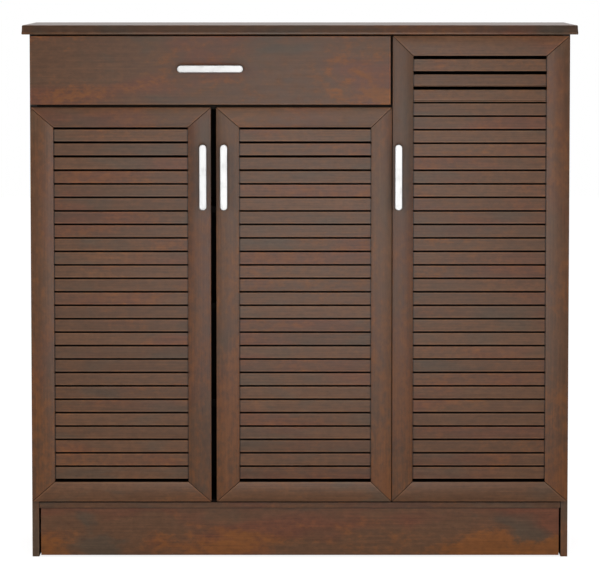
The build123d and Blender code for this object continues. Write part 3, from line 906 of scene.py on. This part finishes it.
def make_foil():
    """A printed foil with plain straight grain."""
    material, tree = new_material("drawer_foil")
    place = own_place(tree)
    line = noise(tree, place, foil_line_stretch)
    streak = noise(tree, place, foil_streak_stretch, detail=2.0)
    share = calculate(tree, "ADD", calculate(tree, "MULTIPLY", line, foil_line_share),
                      calculate(tree, "MULTIPLY", streak, foil_streak_share))
    colour = mixed(tree, between(tree, share, *foil_levels), foil_dark, foil_light)
    rough = between(tree, streak, *usual_levels, *foil_roughness)
    bump = put(tree, "ShaderNodeBump", {"Strength": 0.3, "Distance": foil_relief,
                                        "Height": line})
    surface(tree, {"Base Color": colour, "Roughness": rough, "Normal": bump.outputs[0]})
    return material


drawer_boards = [f"drawer_box_{part}" for part in
                 ("front", "back", "bottom", "left_side", "right_side")]
finish_nodes(drawer_boards, make_foil(), foil_softening)

corner_screw = {"radius": 3.0 * MM, "height": 0.7 * MM}
corner_inset = 6 * MM
corner_rise = 12 * MM
for hand, outward in (("left", -1), ("right", 1)):
    low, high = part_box(f"drawer_box_{hand}_side")
    face = low.x if outward < 0 else high.x
    corner_places = [(face, y, z) for y in (low.y + corner_inset, high.y - corner_inset)
                     for z in (low.z + corner_rise, high.z - corner_rise)]
    screws(f"drawer_{hand}_corner_screws", "drawer", corner_places, (outward, 0, 0),
           zinc_finish, **corner_screw)


# ----------------------------------------------------------------------------- pulls
# Cast zinc bars, plated and satin polished. Each stands on two posts, and a machine
# screw from behind holds each post.

plating = (0.680, 0.677, 0.672, 1)
plating_worn = (0.640, 0.636, 0.630, 1)
pull_softening = 0.3 * MM

pull_nodes = [f"{door}_door_pull" for door in doors] + ["drawer_pull"]
finish_nodes(pull_nodes,
             metal("pull_plating", plating, plating_worn, gloss=0.30, smudged=0.34,
                   relief=0.002 * MM),
             pull_softening)

pull_centres = 128 * MM
pull_screw = {"radius": 3.9 * MM, "height": 1.7 * MM}
drawer_pull_screw = {"radius": 3.9 * MM, "height": 2.2 * MM}
for door in doors:
    centre = middle_of(f"{door}_door_pull")
    door_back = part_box(f"{door}_door_left_stile")[1].y
    post_places = [(centre.x, door_back, centre.z + way * pull_centres / 2) for way in (-1, 1)]
    screws(f"{door}_pull_screws", f"{door}_door", post_places, (0, 1, 0), zinc_finish,
           **pull_screw)

centre = middle_of("drawer_pull")
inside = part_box("drawer_box_front")[1].y
post_places = [(centre.x + way * pull_centres / 2, inside, centre.z) for way in (-1, 1)]
screws("drawer_pull_screws", "drawer", post_places, (0, 1, 0), zinc_finish, **drawer_pull_screw)


# ------------------------------------------------------------- hinges, slides and pins
# The concealed hinges and the drawer's slides are pressed and nickel-plated steel;
# the shelf pins are zinc-plated. The little stops behind the fronts are clear rubber.

nickel = (0.620, 0.610, 0.590, 1)
nickel_dull = (0.480, 0.470, 0.450, 1)

nickel_finish = metal("nickel_plate", nickel, nickel_dull, gloss=0.26, smudged=0.40,
                      relief=0.01 * MM)
pin_softening = 0.3 * MM
hinge_nodes = [f"{door}_door_hinge_{part}" for door in doors
               for part in ("arms", "links", "cups")]
finish_nodes(hinge_nodes, nickel_finish, thin_softening)
finish_nodes(("slide_channels", "slide_runners"), nickel_finish, thin_softening)
finish_nodes(("shelf_pins",), zinc_finish, pin_softening)

hinge_counts = {"left": 2, "middle": 2, "right": 3}
hinge_panels = {"left": ("left_side_panel", 1), "middle": ("partition_panel", -1),
                "right": ("right_side_panel", -1)}
flange_half = 26 * MM
flange_screw_rise = 22.3 * MM
plate_screw_rise = 16 * MM
plate_middle = 39 * MM
plate_thickness = 2.5 * MM
arm_top = 13.5 * MM
arm_screw_depths = (30 * MM, 56 * MM)
cup_screw = {"radius": 3.1 * MM, "height": 0.8 * MM}
plate_screw = {"radius": 3.8 * MM, "height": 1.3 * MM}
arm_screw = {"radius": 3.0 * MM, "height": 0.9 * MM}
carcass_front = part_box("left_side_panel")[0].y
for door in doors:
    low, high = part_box(f"{door}_door_hinge_cups")
    levels = spread(low.z + flange_half, high.z - flange_half, hinge_counts[door])
    flange_places = [((low.x + high.x) / 2, high.y, level + way * flange_screw_rise)
                     for level in levels for way in (-1, 1)]
    screws(f"{door}_cup_screws", f"{door}_door", flange_places, (0, 1, 0), nickel_finish,
           **cup_screw)
    panel, into = hinge_panels[door]
    panel_low, panel_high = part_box(panel)
    panel_face = panel_high.x if into > 0 else panel_low.x
    plate_places = [(panel_face + into * plate_thickness, carcass_front + plate_middle,
                     level + way * plate_screw_rise) for level in levels for way in (-1, 1)]
    screws(f"{door}_plate_screws", "carcass", plate_places, (into, 0, 0), zinc_finish,
           **plate_screw)
    arm_places = [(panel_face + into * arm_top, carcass_front + depth, level)
                  for level in levels for depth in arm_screw_depths]
    screws(f"{door}_arm_screws", "carcass", arm_places, (into, 0, 0), nickel_finish,
           **arm_screw)


rubber_cloudy = (0.70, 0.69, 0.66, 1)
rubber_clear = (0.80, 0.79, 0.77, 1)
rubber_stretch = (400.0, 400.0, 400.0)
rubber_roughness = (0.30, 0.45)


def make_clear_rubber():
    """Clear rubber, faintly cloudy."""
    material, tree = new_material("clear_rubber_stop")
    cloud = noise(tree, own_place(tree), rubber_stretch, detail=2.0)
    colour = mixed(tree, between(tree, cloud, *usual_levels), rubber_cloudy, rubber_clear)
    rough = between(tree, cloud, *usual_levels, *rubber_roughness)
    surface(tree, {"Base Color": colour, "Roughness": rough, "Transmission Weight": 0.35})
    return material


finish_nodes(("door_bumpers",), make_clear_rubber(), thin_softening)


# ---------------------------------------------------------------------------- studio
# Not part of the cabinet: a pale floor, soft lamps to the sides and overhead, a soft
# panel in front of the cabinet, and a plain pale surround.

camera_place = (0.0002, -7.892, 1.281)
camera_tilt = radians(4.38)
camera_lens = 215.2
camera_rise = 0.08

camera = bpy.data.objects.new("camera", bpy.data.cameras.new("camera"))
bpy.context.scene.collection.objects.link(camera)
camera.location = camera_place
camera.rotation_euler = (pi / 2 - camera_tilt, 0, 0)
camera.data.lens = camera_lens
camera.data.sensor_width = 36.0
camera.data.shift_y = -camera_rise
camera.data.clip_end = 100.0
bpy.context.scene.camera = camera


def lamp(name, place, aim, size, watts, mirrored=True):
    """A soft rectangular lamp pointed at a spot, seen in shiny pieces or not."""
    data = bpy.data.lights.new(name, "AREA")
    data.shape = "RECTANGLE"
    data.size, data.size_y = size
    data.energy = watts
    made = bpy.data.objects.new(name, data)
    bpy.context.scene.collection.objects.link(made)
    made.location = place
    towards = Vector(aim) - Vector(place)
    made.rotation_euler = towards.to_track_quat("-Z", "Y").to_euler()
    made.visible_camera = False
    made.visible_glossy = mirrored


side_lamp = {"aim": (0, 0, 0.7), "size": (1.6, 1.6), "watts": 58, "mirrored": False}
lamp("left_lamp", place=(-2.6, -4.6, 1.5), **side_lamp)
lamp("right_lamp", place=(2.6, -4.6, 1.5), **side_lamp)
lamp("overhead_lamp", place=(0, 0.3, 3.4), aim=(0, 0.2, 1.2), size=(2.4, 1.2), watts=16,
     mirrored=False)
lamp("front_panel", place=(0.05, -3.2, 0.71), aim=(0.05, -0.18, 0.71), size=(1.22, 1.28),
     watts=11.0)

floor_reach = 12.0
floor_drop = 0.2 * MM
floor_paint = 0.55
floor_lift = 0.80
floor_backdrop = (0.25, 0.6)
floor_mesh = bpy.data.meshes.new("floor")
floor_mesh.from_pydata([(-floor_reach, -floor_reach, 0), (floor_reach, -floor_reach, 0),
                        (floor_reach, floor_reach, 0), (-floor_reach, floor_reach, 0)],
                       [], [(0, 1, 2, 3)])
floor = bpy.data.objects.new("floor", floor_mesh)
floor.location.z = -floor_drop
bpy.context.scene.collection.objects.link(floor)


def backdrop_share(tree, depth, start, end):
    """1 for what the camera sees, and for what shiny pieces mirror behind the cabinet."""
    path = put(tree, "ShaderNodeLightPath").outputs
    mirrored = calculate(tree, "MAXIMUM", path["Is Glossy Ray"], path["Is Transmission Ray"])
    mirrored = calculate(tree, "MULTIPLY", mirrored, between(tree, depth, start, end))
    return calculate(tree, "MAXIMUM", path["Is Camera Ray"], mirrored)


floor_material, tree = new_material("pale_floor")
floor_axes = put(tree, "ShaderNodeTexCoord").outputs["Object"]
floor_depth = put(tree, "ShaderNodeSeparateXYZ", {0: floor_axes}).outputs["Y"]
lift = backdrop_share(tree, floor_depth, *floor_backdrop)
lit = put(tree, "ShaderNodeBsdfDiffuse", {"Color": (floor_paint, floor_paint, floor_paint, 1)})
glow = put(tree, "ShaderNodeEmission", {"Strength": calculate(tree, "MULTIPLY", lift, floor_lift)})
both = put(tree, "ShaderNodeAddShader", {0: lit.outputs[0], 1: glow.outputs[0]})
put(tree, "ShaderNodeOutputMaterial", {"Surface": both.outputs[0]})
floor_mesh.materials.append(floor_material)

surround_light = 0.42
surround_mirrored = 0.06
surround_backdrop = (0.1, 0.5)
world = bpy.data.worlds.new("surround")
bpy.context.scene.world = world
world.use_nodes = True
tree = world.node_tree
tree.nodes.clear()
ray = put(tree, "ShaderNodeTexCoord").outputs["Generated"]
ray_depth = put(tree, "ShaderNodeSeparateXYZ", {0: ray}).outputs["Y"]
white = backdrop_share(tree, ray_depth, *surround_backdrop)
mirrored = put(tree, "ShaderNodeLightPath").outputs["Is Glossy Ray"]
room = put(tree, "ShaderNodeMix", {0: mirrored, 2: surround_light, 3: surround_mirrored})
level = put(tree, "ShaderNodeMix", {0: white, 2: room.outputs[0], 3: 1.0})
backdrop = put(tree, "ShaderNodeBackground", {"Color": (1, 1, 1, 1),
                                              "Strength": level.outputs[0]})
put(tree, "ShaderNodeOutputWorld", {"Surface": backdrop.outputs[0]})
bpy.context.scene.view_settings.view_transform = "Standard"
